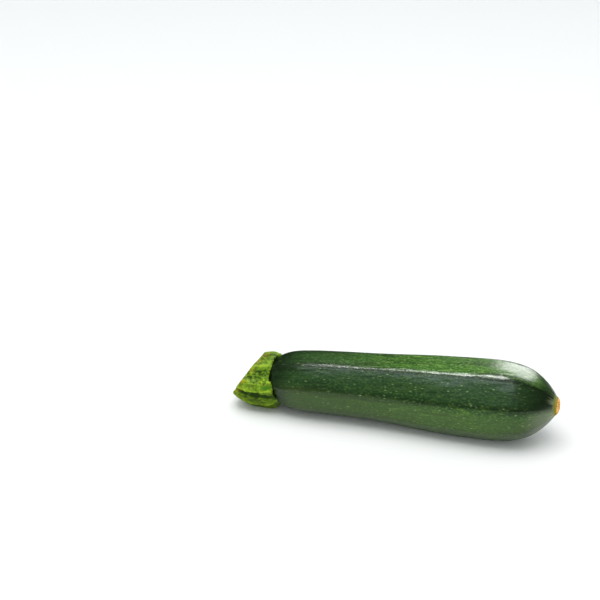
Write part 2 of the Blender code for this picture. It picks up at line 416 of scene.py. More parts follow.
pick(lambda point: off_by(fruit_place(point)[1], RIDGE_DEG) < NEAR_DEG)
bpy.ops.transform.edge_crease(value=RIDGE_CREASE)
smooth_cage(fruit, levels=4)
print("fruit:", len(fruit.data.polygons), "faces")

# %% [markdown]
# ## Unevenness of the skin
# No two sides of a real fruit are quite alike. Broad lumps and long shallow ripples are moved
# into the mesh itself, so they show in the outline and in the highlights. Displace could do it,
# but its noise is equal all ways, and these ripples are much longer than they are wide. So each
# point moves along its normal by a noise read at its own distance and angle, the "grain".

# %% Reading and moving points


def read_points(piece, what="co"):
    """The positions or the normals of a piece's points."""
    values = np.zeros(len(piece.data.vertices) * 3)
    piece.data.vertices.foreach_get(what, values)
    return values.reshape(-1, 3)


def write_points(piece, points):
    """Moves a piece's points, none of them below the floor."""
    points[:, 2] = np.maximum(points[:, 2], 0.0)
    piece.data.vertices.foreach_set("co", points.ravel())
    piece.data.update()


def push_out(piece, heights_mm):
    """Moves each point along its normal."""
    write_points(piece, read_points(piece) + read_points(piece, "normal") * heights_mm[:, None] * MM)


def store(piece, name, values):
    """Keeps a number or a vector for each point, for the material to read."""
    kind = "FLOAT_VECTOR" if np.ndim(values) == 2 else "FLOAT"
    layer = piece.data.attributes.new(name, kind, "POINT")
    layer.data.foreach_set("vector" if kind == "FLOAT_VECTOR" else "value", np.ravel(values))


# %% Noise along the grain
from mathutils import noise


def grain_of(distances_mm, angles_deg, radius_mm):
    """Distance along and place round, in millimetres, with no seam anywhere."""
    angles = np.radians(angles_deg)
    return np.column_stack([distances_mm, radius_mm * np.cos(angles), radius_mm * np.sin(angles)])


def rough(grain, length_mm, width_mm, seed=0.0):
    """Smooth noise between about -1 and 1 whose lumps have this length and width."""
    scaled = grain / (length_mm, width_mm, width_mm) + seed
    return np.array([noise.noise(Vector(point)) for point in scaled])


def bell(values, width):
    """1 where the values are 0, and little past the width."""
    return np.exp(-np.square(np.asarray(values) / width))


def ridge_shares(angles_deg):
    """1 on a ridge, falling to 0 in the middle of each side."""
    half_side_deg = 180 / len(RIDGE_DEG)
    return np.array([max(1 - off_by(angle, RIDGE_DEG) / half_side_deg, 0) for angle in angles_deg])


# %% Lumps and ripples
GRAIN_RADIUS_MM = 20.0
FRUIT_LUMPS_MM = ((38.0, 24.0, 0.55), (26.0, 6.0, 0.07), (8.0, 3.0, 0.03))  # length, width, depth
SIDE_CROWN_MM = 0.3  # how much rounder than the cage's flat sides the real ones are
NECK_MM = 9.0  # the sides are drawn in towards the stem over this length
NECK_DIP_MM = 0.7
NECK_PLEATS_MM = (14.0, 3.0, 0.35)  # length, width and depth, as for the lumps

write_points(fruit, read_points(fruit))  # flattens the spot it lies on before its normals are read
distances, angles = np.transpose([fruit_place(point) for point in read_points(fruit)])
fruit_grain = grain_of(distances, angles, GRAIN_RADIUS_MM)
fruit_ridges = ridge_shares(angles)
lumps = sum(depth * rough(fruit_grain, length, width) for length, width, depth in FRUIT_LUMPS_MM)
lumps += SIDE_CROWN_MM * (0.5 + 0.5 * np.cos(np.pi * fruit_ridges))
pleat_length, pleat_width, pleat_depth = NECK_PLEATS_MM
pleats = pleat_depth * rough(fruit_grain, pleat_length, pleat_width)
lumps += bell(distances, NECK_MM) * (pleats - NECK_DIP_MM * (1 - fruit_ridges))
push_out(fruit, lumps)
store(fruit, "grain", fruit_grain * MM)
store(fruit, "ridge", fruit_ridges)
print("lumps from", round(lumps.min(), 2), "to", round(lumps.max(), 2), "mm")

# %% [markdown]
# Each side of a courgette also has its own tone, some nearly black-green and some grass green, and
# the next one can be quite unlike it. An image could hold that, but a number at each point can't
# slide or show a seam. It is stored with the mesh, like the grain, for the skin's colours to read.

# %% Tones of the sides
SIDE_PALE = (0.1, 0.82, 0.25, 0.7, 0.2, 0.6, 0.3, 0.5)  # each side's tone, in the order of the ridges
TONE_BLEND_DEG = 15.0
PALE_ALONG_MM = ((0.0, 85.0, 112.0, 135.0), (0.1, 1.0, 1.0, 0.72))  # distances, and the tone's share there
LEAST_WEIGHT = 1e-6  # so that the weights never add up to nothing


def side_tones(distances_mm, angles_deg):
    """How pale the skin is: each side has its own tone, and all are darker towards the ends."""
    offsets = (np.subtract.outer(angles_deg, SIDE_DEG) + 180) % 360 - 180
    weights = bell(offsets, TONE_BLEND_DEG) + LEAST_WEIGHT
    return weights @ np.array(SIDE_PALE) / weights.sum(axis=1) * np.interp(distances_mm, *PALE_ALONG_MM)


tones = side_tones(distances, angles)
store(fruit, "pale", tones)
print("tones from", round(tones.min(), 2), "to", round(tones.max(), 2))

# %% [markdown]
# The joint between stem and fruit isn't round: on the side that faces the viewer the fruit's
# shoulder swells back over the neck, and the rim of the stem gives way to it. Both pieces are
# moved by one rule, the rim a little less than the fruit, so that no gap opens between them.

# %% Swollen shoulder
SWELLINGS = ((52.0, 24.0, 3.2), (16.0, 22.0, 1.8), (84.0, 14.0, 0.9))  # angle, width and reach in mm
SWELLING_FADE_MM = 8.0
SWELLING_INNER_MM = 12.0  # nearer the axis than this it fades out
joint_centre = place(JOINT_MM, 0.0, STEM_POLE_MM[-1])


def swollen(points, distances_mm, angles_deg, share=1.0):
    """Moves the points of the joint towards the plant where the shoulder swells."""
    reach = sum(
        depth * bell((angles_deg - middle + 180) % 360 - 180, width) for middle, width, depth in SWELLINGS
    )
    away = np.clip(np.abs(distances_mm - JOINT_MM) / SWELLING_FADE_MM, 0, 1)
    radii = np.hypot(points[:, 1] - joint_centre.y, points[:, 2] - joint_centre.z) / MM
    reach *= (0.5 + 0.5 * np.cos(np.pi * away)) * np.clip(radii / SWELLING_INNER_MM, 0, 1)
    return points - np.outer(share * reach * MM, (1, 0, 0))


write_points(fruit, swollen(read_points(fruit), distances, angles))
print("the shoulder swells over", SWELLING_FADE_MM, "mm each way")

# %% [markdown]
# ## Stem
# The stem is the woody end of the stalk. It flares over the neck of the fruit in lobes, one for
# each rib, and was cut with a knife at a slant. It is grown from its rim towards the plant, with
# four points for each rib: its crest, a flank, a groove and a flank.

# %% Stem cage
# Distance, crest radius, groove radius as a share of it, bow and axis height, in millimetres.
STEM_STATIONS_MM = (
    (-4.0, 16.4, 0.90, 0.0, 16.0),
    (-7.6, 16.9, 0.86, 0.0, 15.5),
    (-12.6, 16.5, 0.82, -0.2, 15.0),
    (-18.0, 16.0, 0.80, -0.5, 14.9),
    (-24.0, 14.2, 0.79, -0.9, 15.1),
    (-30.0, 10.6, 0.79, -1.3, 17.0),
    (-36.0, 7.0, 0.79, -1.7, 18.8),
)
STEM_RIM_MM = (-1.6, 15.8, 0.95, 0.0, 16.2)
STEM_UNDER_MM = ((-2.6, 14.4), (-5.8, 11.2), (-7.4, 5.5))
STEM_UNDER_POLE_MM = -7.7
STEM_UNDER_DROP_MM = 0.2
LOBE_REACH_MM = 1.1
FLANK_SHARE = 0.55  # the flanks are this share as deep as the grooves
FLANK_DEG = [(ridge + middle) / 2 for ridge, middle in zip(RIDGE_DEG, SIDE_DEG)]
FLANK_DEG += [(middle + after) / 2 for middle, after in zip(SIDE_DEG, NEXT_RIDGE_DEG)]


# %% Grooves between the ribs


def selected_points():
    """The numbers of the selected points, in edit mode."""
    return {vert.index for vert in bmesh.from_edit_mesh(bpy.context.object.data).verts if vert.select}


def pick_points(numbers, centre=None, lines_deg=None):
    """Selects just these points, or of them those on some lines round a centre."""
    bpy.ops.mesh.select_all(action="DESELECT")
    piece = bpy.context.object
    mesh = bmesh.from_edit_mesh(piece.data)
    for vert in mesh.verts:
        arm = vert.co - (centre or vert.co)
        angle_deg = math.degrees(math.atan2(arm.z, -arm.y))
        on_lines = lines_deg is None or off_by(angle_deg, lines_deg) < NEAR_DEG
        vert.select = vert.index in numbers and on_lines
    mesh.select_flush(True)
    bmesh.update_edit_mesh(piece.data)


def groove_ring(centre, groove, groove_before):
    """Deepens the grooves of the selected ring, and its flanks by a part of that."""
    ring = selected_points()
    flank, flank_before = [1 - FLANK_SHARE * (1 - depth) for depth in (groove, groove_before)]
    for lines_deg, share in ((SIDE_DEG, groove / groove_before), (FLANK_DEG, flank / flank_before)):
        pick_points(ring, centre, lines_deg)
        bpy.ops.transform.resize(value=(share, share, share), center_override=centre)
    pick_points(ring)


# %% Growing the stem
stem_section = []
for ridge, middle, after in zip(RIDGE_DEG, SIDE_DEG, NEXT_RIDGE_DEG):
    stem_section += [around(ridge), around((ridge + middle) / 2)]
    stem_section += [around(middle), around((middle + after) / 2)]

rim_centre = centre_of(STEM_RIM_MM)
before = STEM_RIM_MM
stem = start_ring("courgette_stem", stem_section, rim_centre, before[1] * MM, lean_at(before[0]))
groove_ring(rim_centre, before[2], 1.0)
for station in STEM_STATIONS_MM:
    lean_deg = lean_at(station[0]) - lean_at(before[0])
    grow_ring(centre_of(before), centre_of(station), station[1] / before[1], lean_deg=lean_deg)
    groove_ring(centre_of(station), station[2], before[2])
    before = station
close_ring(centre_of(before))
print("stem cage:", len(bmesh.from_edit_mesh(stem.data).verts), "points")

# %% [markdown]
# The rim gets its lobes by moving the rib points towards the fruit and the groove points away
# from it. Then the open rim is grown inwards, to close the stem over the fruit's end.

# %% Lobes and underside
pick_open_edge()
rim = selected_points()
for lines_deg, reach in ((RIDGE_DEG, LOBE_REACH_MM), (SIDE_DEG, -LOBE_REACH_MM)):
    pick_points(rim, rim_centre, lines_deg)
    bpy.ops.transform.translate(value=(reach * MM, 0, 0))
pick_points(rim)
centre, radius = rim_centre, STEM_RIM_MM[1]
under_height = STEM_RIM_MM[-1] - STEM_UNDER_DROP_MM
for distance, under_radius in STEM_UNDER_MM:
    new_centre = place(distance, 0.0, under_height)
    grow_ring(centre, new_centre, under_radius / radius)
    centre, radius = new_centre, under_radius
close_ring(place(STEM_UNDER_POLE_MM, 0.0, under_height))
smooth_cage(stem, levels=2)
print("stem before the cut:", len(stem.data.polygons), "faces")

# %% [markdown]
# ## The knife's cut
# Bisect is the knife: it cuts along a plane, throws away the outer part and fills the hole. The
# filled face is inset and sunk a little, because the flesh dries and shrinks while the tough rind
# round it stays. A voxel remesh then gives small even faces, which the fine relief needs.

# %% Cut
CUT_NORMAL = Vector((-1.0, 0.12, 0.62)).normalized()
CUT_POINT = place(-22.2, 0.0, 17.0)
CUT_RIM_MM = 1.6
CUT_DISH_MM = 0.7
STEM_VOXEL_MM = 0.36
SAME_WAY = 0.999  # the least cosine between two normals that point the same way
ON_PLANE_MM = 0.1  # how far off a plane a point still counts as on it


def pick_cut_face():
    """In edit mode, selects just the face that the knife left."""
    bpy.ops.mesh.select_mode(type="FACE")
    bpy.ops.mesh.select_all(action="DESELECT")
    piece = bpy.context.object
    mesh = bmesh.from_edit_mesh(piece.data)
    mesh.normal_update()
    for face in mesh.faces:
        along_cut = abs(face.normal.dot(CUT_NORMAL)) > SAME_WAY
        off_plane = abs((face.calc_center_median() - CUT_POINT).dot(CUT_NORMAL)) / MM
        face.select = along_cut and off_plane < ON_PLANE_MM
    bmesh.update_edit_mesh(piece.data)


bpy.ops.object.mode_set(mode="EDIT")
bpy.ops.mesh.select_all(action="SELECT")
bpy.ops.mesh.bisect(plane_co=CUT_POINT, plane_no=CUT_NORMAL, use_fill=True, clear_outer=True)
pick_cut_face()
bpy.ops.mesh.inset(thickness=CUT_RIM_MM * MM, depth=-CUT_DISH_MM * MM)
bpy.ops.mesh.select_all(action="SELECT")
bpy.ops.mesh.normals_make_consistent(inside=False)
bpy.ops.object.mode_set(mode="OBJECT")
apply_modifier(stem, "REMESH", mode="VOXEL", voxel_size=STEM_VOXEL_MM * MM)
print("stem:", len(stem.data.polygons), "faces")

# %% [markdown]
# ## Relief of the stem
# Along each rib runs a tough cord of fibre with a furrow beside it, and between the ribs the
# rind is covered in small warts and fine lengthwise threads. These are all real shapes that catch
# the light, so they are moved into the mesh. A height is worked out for each point from its place
# on the stem, all the heights are added up, and then the points move once.

# %% Places on the stem
STEM_GRAIN_RADIUS_MM = 16.0
CUT_FACING = 0.8  # the least cosine between the cut's normal and that of a point on the cut

points = read_points(stem)
distances, angles = np.transpose([place_on(point, STEM_STATIONS_MM) for point in points])
front_angles = (angles + 180) % 360 - 180  # below 0 under the front
from_rim_mm = STEM_RIM_MM[0] - distances
stem_grain = grain_of(distances, angles, STEM_GRAIN_RADIUS_MM)
stem_ribs = ridge_shares(angles)
from_cut = CUT_POINT.dot(CUT_NORMAL) - points @ np.array(CUT_NORMAL)
faces_cut = read_points(stem, "normal") @ np.array(CUT_NORMAL) > CUT_FACING
on_cut = faces_cut & (from_cut < 2 * CUT_DISH_MM * MM)
print(on_cut.sum(), "of", len(points), "points are on the cut")

# %% [markdown]
# The cords and furrows swell and fade on their way, and in places they break off. The front rib's
# furrow is the deepest. It slants a little, and it grows shallower towards the rim.

# %% Cords and furrows
CORD_DEG, CORD_MM = 4.0, 0.45
FURROW_OFFSET_DEG, FURROW_DEG, FURROW_MM = -10.0, 4.5, 0.5
MINOR_CORD_OFFSET_DEG, MINOR_CORD_DEG, MINOR_CORD_MM = 13.0, 3.0, 0.3
FRONT_CORD_DEG = 0.5  # the front rib's own cord and furrow lie lower than its ridge
FRONT_FURROW_DEG = (-12.0, -16.0)  # near the cut and at the rim
FRONT_FURROW_START_MM = -24.0  # near the cut, where it starts to slant
FRONT_FURROW_WIDTH_DEG, FRONT_FURROW_MM = 6.0, 1.35
FRONT_FURROW_FADE = 0.55  # how much shallower it is at the rim
LINE_BREAKS_MM = (7.0, 4.0)  # cords and furrows swell and fade over this length and width
LINE_BREAKS_SEED = 9.4
LINE_MIDDLE, LINE_SWELL = 0.75, 0.9  # the usual share of their height, and how far it swells and fades
LINE_LEAST, LINE_MOST = 0.2, 1.4


def lines_relief(angles_deg, lines_deg, width_deg, height_mm):
    """A raised line, or with a height below 0 a furrow, along each of some directions."""
    return height_mm * bell([off_by(angle, lines_deg) for angle in angles_deg], width_deg)


breaks = LINE_MIDDLE + LINE_SWELL * rough(stem_grain, *LINE_BREAKS_MM, LINE_BREAKS_SEED)
breaks = np.clip(breaks, LINE_LEAST, LINE_MOST)
furrows_deg = [ridge + FURROW_OFFSET_DEG for ridge in RIDGE_DEG[1:]]
minor_deg = [ridge + MINOR_CORD_OFFSET_DEG for ridge in RIDGE_DEG]
relief = lines_relief(angles, RIDGE_DEG[1:], CORD_DEG, CORD_MM)
relief += lines_relief(angles, furrows_deg, FURROW_DEG, -FURROW_MM) * breaks
along_stem = (distances - FRONT_FURROW_START_MM) / (STEM_RIM_MM[0] - FRONT_FURROW_START_MM)
along_stem = np.clip(along_stem, 0, 1)
furrow_line = FRONT_FURROW_DEG[0] + along_stem * (FRONT_FURROW_DEG[1] - FRONT_FURROW_DEG[0])
front_furrow = bell(front_angles - furrow_line, FRONT_FURROW_WIDTH_DEG)
relief -= FRONT_FURROW_MM * front_furrow * (1 - FRONT_FURROW_FADE * along_stem) * breaks
relief += CORD_MM * bell(front_angles - FRONT_CORD_DEG, CORD_DEG)
relief += lines_relief(angles, minor_deg, MINOR_CORD_DEG, MINOR_CORD_MM) * breaks
print("cords and furrows from", round(relief.min(), 2), "to", round(relief.max(), 2), "mm")

# %% [markdown]
# The warts are lumps of noise in two sizes, with shallower pits between them. They are highest
# just above the front rib, lower on the ribs than between them, and one small patch near the rim
# has none. The threads are noise too, much longer than it is wide.

# %% Warts and threads
WARTS_MM = ((2.6, 2.0, 1.3), (1.4, 1.2, 0.8))  # length, width, height
WARTS_SEED = 7.3
WART_PITS = 0.5  # how deep the pits between the warts are, as a share of the warts' height
WART_LEAST = 0.62  # the warts are highest above the front rib and this share of it elsewhere
WART_DEG = (30.0, 26.0)  # middle and half width of where they are highest
WART_LOSS_ON_RIBS = 0.7
SMOOTH_PATCH = ((9.0, 5.0), (-5.5, 4.0))  # middle and half size, in degrees round and millimetres along
THREADS_MM = (6.0, 0.9, 0.14)  # length, width, height
THREADS_SEED = 3.1

warts = sum(
    height * rough(stem_grain, length, width, WARTS_SEED + length) for length, width, height in WARTS_MM
)
warts = np.where(warts > 0, warts, warts * WART_PITS)
warts *= WART_LEAST + (1 - WART_LEAST) * bell(front_angles - WART_DEG[0], WART_DEG[1])
warts *= 1 - WART_LOSS_ON_RIBS * stem_ribs
(patch_deg, patch_half_deg), (patch_mm, patch_half_mm) = SMOOTH_PATCH
patch = bell(front_angles - patch_deg, patch_half_deg) * bell(distances - patch_mm, patch_half_mm)
thread_length, thread_width, thread_height = THREADS_MM
threads = thread_height * rough(stem_grain, thread_length, thread_width, THREADS_SEED)
relief += warts * (1 - patch) + threads
print("warts from", round(warts.min(), 2), "to", round(warts.max(), 2), "mm")

# %% [markdown]
# The relief fades out at the rim, which lies close on the fruit, and nearly so at the edge of the
# cut. On the cut itself there is none, because the knife left it flat.

# %% Moving the rind
RIM_FADE_MM = 1.5
CUT_FADE_MM = 0.8
CUT_EDGE_SHARE = 0.15  # what is left of the relief at the edge of the cut

relief *= np.clip(from_rim_mm / RIM_FADE_MM, 0, 1)
relief *= np.where(on_cut, 0, np.clip(from_cut / MM / CUT_FADE_MM, CUT_EDGE_SHARE, 1))
push_out(stem, relief)
print("relief from", round(relief.min(), 2), "to", round(relief.max(), 2), "mm")

# %% [markdown]
# The rim itself is a thin wavy edge. It is moved to and fro along the fruit by a noise, drawn in
# until it lies on the skin, and made to give way to the swollen shoulder.

# %% Rim
RIM_WAVE_MM = (40.0, 3.0, 1.1)  # length, width and reach of the rim's small lobes
RIM_WAVE_SEED = 2.2
RIM_WAVE_FADE_MM = 2.5
RIM_TUCK = 0.10  # the share by which the rim is drawn in over the fruit
RIM_TUCK_FADE_MM = 5.0
RIM_GIVES_WAY = 0.82  # the share of the swelling that the rim follows

wave_length, wave_width, wave_reach = RIM_WAVE_MM
wave = wave_reach * rough(stem_grain, wave_length, wave_width, RIM_WAVE_SEED)
wave *= np.clip(1 - from_rim_mm / RIM_WAVE_FADE_MM, 0, 1)
tuck = RIM_TUCK * np.square(np.clip(1 - from_rim_mm / RIM_TUCK_FADE_MM, 0, 1))
waved = read_points(stem)
waved[:, 0] += wave * MM
waved[:, 1:] -= (waved[:, 1:] - np.array(rim_centre)[1:]) * tuck[:, None]
write_points(stem, swollen(waved, distances, angles, RIM_GIVES_WAY))
print("the rim waves from", round(wave.min(), 2), "to", round(wave.max(), 2), "mm")

# %% [markdown]
# The stem's colours differ by rib, height and nearness to the cut, so the material has to know
# these at every point. They are stored with the mesh, like the tones of the fruit.

# %% What the stem's colours read
CUT_RADIUS = 12 * MM  # about the middle of the cut to its edge, seen along the stem

stem_measures = {
    "grain": stem_grain * MM,
    "rib": stem_ribs,
    "relief": relief / CORD_MM,
    "cut_face": on_cut.astype(float),
    "from_cut": from_cut,
    "smooth_patch": patch,
    "cut_radius": np.hypot(points[:, 1] - CUT_POINT.y, points[:, 2] - CUT_POINT.z) / CUT_RADIUS,
}
for name, values in stem_measures.items():
    store(stem, name, values)
print("stored on the stem:", ", ".join(stem_measures))
# %% [markdown]
# ## Flower scar
# Where the flower fell off, the tip healed over with cork: a notched button with a pit where the
# style stood. It is grown like the others, from twenty points, every other one drawn in.

# %% Scar cage
SCAR_STATIONS_MM = ((154.9, 5.7), (155.4, 5.4), (156.1, 4.6), (156.7, 3.5), (157.0, 2.1), (156.8, 1.1))
SCAR_BASE_MM = 153.9  # sunk into the end of the fruit, so that no gap shows
SCAR_PIT_MM = 156.4
SCAR_SIDES = 20
SCAR_NOTCH = 0.93


def scar_centre(distance_mm):
    """A point of the scar's axis."""
    return place(distance_mm, *SCAR_AXIS_MM)


step_deg = 360 / SCAR_SIDES
scar_section = [around(k * step_deg, SCAR_NOTCH if k % 2 else 1.0) for k in range(SCAR_SIDES)]
rings = ((SCAR_BASE_MM, SCAR_STATIONS_MM[0][1]),) + SCAR_STATIONS_MM
scar = start_ring("courgette_flower_scar", scar_section, scar_centre(SCAR_BASE_MM), rings[0][1] * MM)
for (distance, radius), (after, next_radius) in zip(rings, rings[1:]):
    grow_ring(scar_centre(distance), scar_centre(after), next_radius / radius)
close_ring(scar_centre(SCAR_PIT_MM))
pick_open_edge()
close_ring(scar_centre(SCAR_BASE_MM))
smooth_cage(scar, levels=4)
print("scar:", len(scar.data.polygons), "faces")

# %% [markdown]
# Drying has left fine radial cracks in the cork and a crumbly grain, so both are moved into the
# mesh. The cracks are a noise that is long from the middle outwards and narrow round it, and they
# deepen away from the pit. The side that is sunk in the fruit stays smooth.

# %% Cracks and crumbs
SCAR_EDGE_MM, SCAR_RADIUS_MM = SCAR_STATIONS_MM[1]
CRACKS_MM = (3.0, 0.55, 0.45)  # length along the radius, width, depth
CRACKS_FULL_MM = 2.0  # the radius from which they have their full depth
CRUMBS_MM = (0.8, 0.8, 0.22)
CRUMBS_SEED = 5.7
SCAR_FADE_MM = 0.5

arms = (read_points(scar) - np.array(scar_centre(SCAR_PIT_MM))) / MM
scar_radii = np.hypot(arms[:, 1], arms[:, 2])
scar_angles = np.degrees(np.arctan2(arms[:, 2], -arms[:, 1]))
scar_grain = grain_of(scar_radii, scar_angles, SCAR_RADIUS_MM)
crack_length, crack_width, crack_depth = CRACKS_MM
cracks = -crack_depth * np.maximum(rough(scar_grain, crack_length, crack_width), 0)
crumb_length, crumb_width, crumb_depth = CRUMBS_MM
crumbs = crumb_depth * rough(arms, crumb_length, crumb_width, CRUMBS_SEED)
outer_face = np.clip((arms[:, 0] + SCAR_PIT_MM - SCAR_EDGE_MM) / SCAR_FADE_MM, 0, 1)
scar_relief = (cracks * np.clip(scar_radii / CRACKS_FULL_MM, 0, 1) + crumbs) * outer_face
push_out(scar, scar_relief)
store(scar, "grain", scar_grain * MM)
store(scar, "relief", scar_relief / crack_depth)
store(scar, "radius", scar_radii / SCAR_RADIUS_MM)
print("scar relief from", round(scar_relief.min(), 2), "to", round(scar_relief.max(), 2), "mm")
# %% [markdown]
# ## How a finish is painted
# A grown surface is many thin patterns over each other, and each is the same few steps: a field
# says where the pattern is, its edges are softened between two values, and its colour is laid
# over what is there. So a finish is written as a list of layers, which one loop paints. Noise
# with a length and a width, read along the grain, gives most of the fields.

# %% Painting in layers
NOISE_LOW, NOISE_HIGH = 0.3, 0.7  # nearly all of a noise field lies between these


def per_mm(length_mm, width_mm):
    """The scale that turns metres of grain into lumps of this length and width."""
    return (1 / (length_mm * MM), 1 / (width_mm * MM), 1 / (width_mm * MM))


def noise_fields(tree, grain, patterns):
    """A dictionary of noises; each pattern has a name, a length and width, detail and a seed."""
    fields = {}
    for name, size_mm, detail, seed in patterns:
        spread = add_node(tree, "ShaderNodeMapping",
                          {"Vector": grain, "Scale": per_mm(*size_mm), "Location": (seed, seed, seed)})
        field = add_node(tree, "ShaderNodeTexNoise", {
            "Vector": spread.outputs[0], "Scale": 1.0, "Detail": detail})
        fields[name] = field.outputs[0]
    return fields


def paint(tree, colour, layers):
    """Lays colours over a first one. A layer is a colour, the most it covers, and what steers it:
    one or more fields, each with the values where it starts and is full, and its least share."""
    for hex_code, cover, *steers in layers:
        share = cover
        for field, start, full, least in steers:
            step = add_node(tree, "ShaderNodeMapRange", {0: field, 1: start, 2: full, 3: least},
                            interpolation_type="SMOOTHSTEP")
            product = add_node(tree, "ShaderNodeMath", {0: step.outputs[0], 1: share}, operation="MULTIPLY")
            share = product.outputs[0]
        mix = add_node(tree, "ShaderNodeMix", {0: share, 6: colour, 7: linear(hex_code)}, data_type="RGBA")
        colour = mix.outputs[2]
    return colour


# %% [markdown]
# ## Courgette skin
# The skin is a smooth living rind under a thin film of wax. To the eye that is deep green with
# darker and paler streaks along the fruit, a fine marbling, and many small long pale flecks, under
# a gloss that is soft on the sides and bright only where a light is mirrored. Every pattern reads
# the grain, so it runs along the fruit, turns with it and gathers at both ends.

# %% Fields of the skin
# Length and width in millimetres, detail and seed of each pattern.
SKIN_PATTERNS = (
    ("streak", (34.0, 2.6), 3.0, 0.0),
    ("marbling", (5.5, 1.5), 4.0, 11.0),
    ("speckle", (1.5, 0.8), 2.0, 23.0),
    ("patch", (24.0, 9.0), 1.0, 37.0),
    ("ray", (30.0, 7.0), 2.0, 51.0),
    ("film", (8.0, 2.2), 3.0, 71.0),
)
FLECK_MM = (3.5, 1.45)  # spacing of the flecks along and across

skin, tree, shader = new_material("waxy_courgette_skin")
grain = add_node(tree, "ShaderNodeAttribute", attribute_name="grain").outputs["Vector"]
pale, ridge = [
    add_node(tree, "ShaderNodeAttribute", attribute_name=name).outputs["Fac"] for name in ("pale", "ridge")
]
along = add_node(tree, "ShaderNodeSeparateXYZ", {0: grain}).outputs[0]
place_in_space = add_node(tree, "ShaderNodeTexCoord").outputs["Object"]
up = add_node(tree, "ShaderNodeSeparateXYZ", {0: place_in_space}).outputs[2]
to_scar = add_node(tree, "ShaderNodeVectorMath", {0: place_in_space, 1: scar_centre(FRUIT_LENGTH_MM)},
                   operation="DISTANCE").outputs["Value"]
field = noise_fields(tree, grain, SKIN_PATTERNS)
print("skin patterns:", ", ".join(field))

# %% [markdown]
# A fleck is a Voronoi cell's middle, stretched along the fruit. Only some cells have one: each
# cell's own random colour decides, and also how strong it is. Near the floor, and low at the
# flower end, the real wax mirrors pale things round it and looks greyer. No light here does that,
# so a greyer green is painted there, a painted reflection. Darker green is painted as shade along
# the ridges of the darker sides and towards the flower end. Round the neck the skin's own darker
# green has painted shade over it.

# %% Skin colours
SKIN_DEEP_AND_SHADE = "15260f"
SKIN_DARK_SIDE = "25421e"
SKIN_PALE_SIDE = "3b6c18"
SKIN_MARBLING = "6d962e"
SKIN_SPECKLE = "84a55c"
SKIN_FLECK = "98b26e"
SKIN_FLOOR_REFLECTION = "4a612e"
SKIN_LOW_TIP_REFLECTION = "6c745e"
SKIN_NECK_DARK_AND_SHADE = "10200d"
SKIN_TIP_SHADE = "101c0e"
SKIN_HALO = "66721a"
SKIN_HALO_RAY = "a9b48a"

cells = add_node(tree, "ShaderNodeMapping", {"Vector": grain, "Scale": per_mm(*FLECK_MM)})
fleck = add_node(tree, "ShaderNodeTexVoronoi", {"Vector": cells.outputs[0], "Scale": 1.0})
chance = add_node(tree, "ShaderNodeSeparateColor", {0: fleck.outputs["Color"]})
colour = paint(tree, linear(SKIN_DARK_SIDE), (
    (SKIN_PALE_SIDE, 1.0, (pale, 0.0, 1.0, 0.0)),
    (SKIN_DEEP_AND_SHADE, 0.7, (field["streak"], 0.52, 0.3, 0.0)),
    # Painted shade: darker green along the ridges of the darker sides, standing in for a dark reflection.
    (SKIN_DEEP_AND_SHADE, 0.75, (ridge, 0.45, 0.9, 0.0), (pale, 0.75, 0.1, 0.0)),
    (SKIN_MARBLING, 0.75, (field["marbling"], 0.47, 0.7, 0.0), (field["patch"], 0.3, 0.6, 0.4),
     (pale, 0.25, 0.85, 0.12)),
    (SKIN_SPECKLE, 0.5, (field["speckle"], 0.54, 0.68, 0.0), (pale, 0.0, 0.9, 0.2)),
    (SKIN_DEEP_AND_SHADE, 0.6, (field["speckle"], 0.48, 0.3, 0.0)),
    # Painted reflection: a greyer green low down, where the wax would mirror the pale floor.
    (SKIN_FLOOR_REFLECTION, 0.42, (up, 25 * MM, 19 * MM, 0.0)),
    (SKIN_FLECK, 0.5, (fleck.outputs["Distance"], 0.28, 0.08, 0.0), (chance.outputs[0], 0.36, 1.0, 0.0)),
    # Painted shade: darker green towards the flower end, most on the darker sides and higher up.
    (SKIN_TIP_SHADE, 0.65, (to_scar, 40 * MM, 15 * MM, 0.0), (pale, 0.42, 0.15, 0.0)),
    (SKIN_TIP_SHADE, 0.75, (to_scar, 22 * MM, 11 * MM, 0.0), (up, 23 * MM, 29 * MM, 0.0)),
    # Painted reflection: a greyer green low at the flower end.
    (SKIN_LOW_TIP_REFLECTION, 0.62, (to_scar, 26 * MM, 13 * MM, 0.0), (up, 27 * MM, 22 * MM, 0.0)),
    (SKIN_HALO_RAY, 0.4, (field["ray"], 0.48, 0.62, 0.0), (to_scar, 13 * MM, 6 * MM, 0.0)),
    (SKIN_HALO, 1.0, (to_scar, 7.7 * MM, 6.1 * MM, 0.0)),
    # Partly the neck's own darker green, partly painted shade where fruit and stem meet.
    (SKIN_NECK_DARK_AND_SHADE, 0.85, (along, 11 * MM, -2 * MM, 0.0)),
))
feed(shader, {"Base Color": colour})
print("skin nodes:", len(tree.nodes))

# %% [markdown]
# The wax is clear, so it is a coat over the rind. The rind's own gloss is softer and uneven.
# Two bumps follow: shallow ripples of the wax film, strongest on the ridges, where they break up
# the light line, and the fine grain of the rind, drawn coarser than the real one, or it would
# not show at all.

# %% Gloss of the skin
WAX_ROUGHNESS = 0.22
RIND_ROUGHNESS = (0.28, 0.4)
RIPPLE_HEIGHT = 0.8 * MM
RIPPLE_STRENGTH = (0.19, 0.5)  # on the sides and on the ridges
RIDGE_EDGE = (0.55, 0.95)  # the stored ridge value where a ridge begins, and where it is full
PORE_HEIGHT, PORE_STRENGTH = 0.2 * MM, 0.6

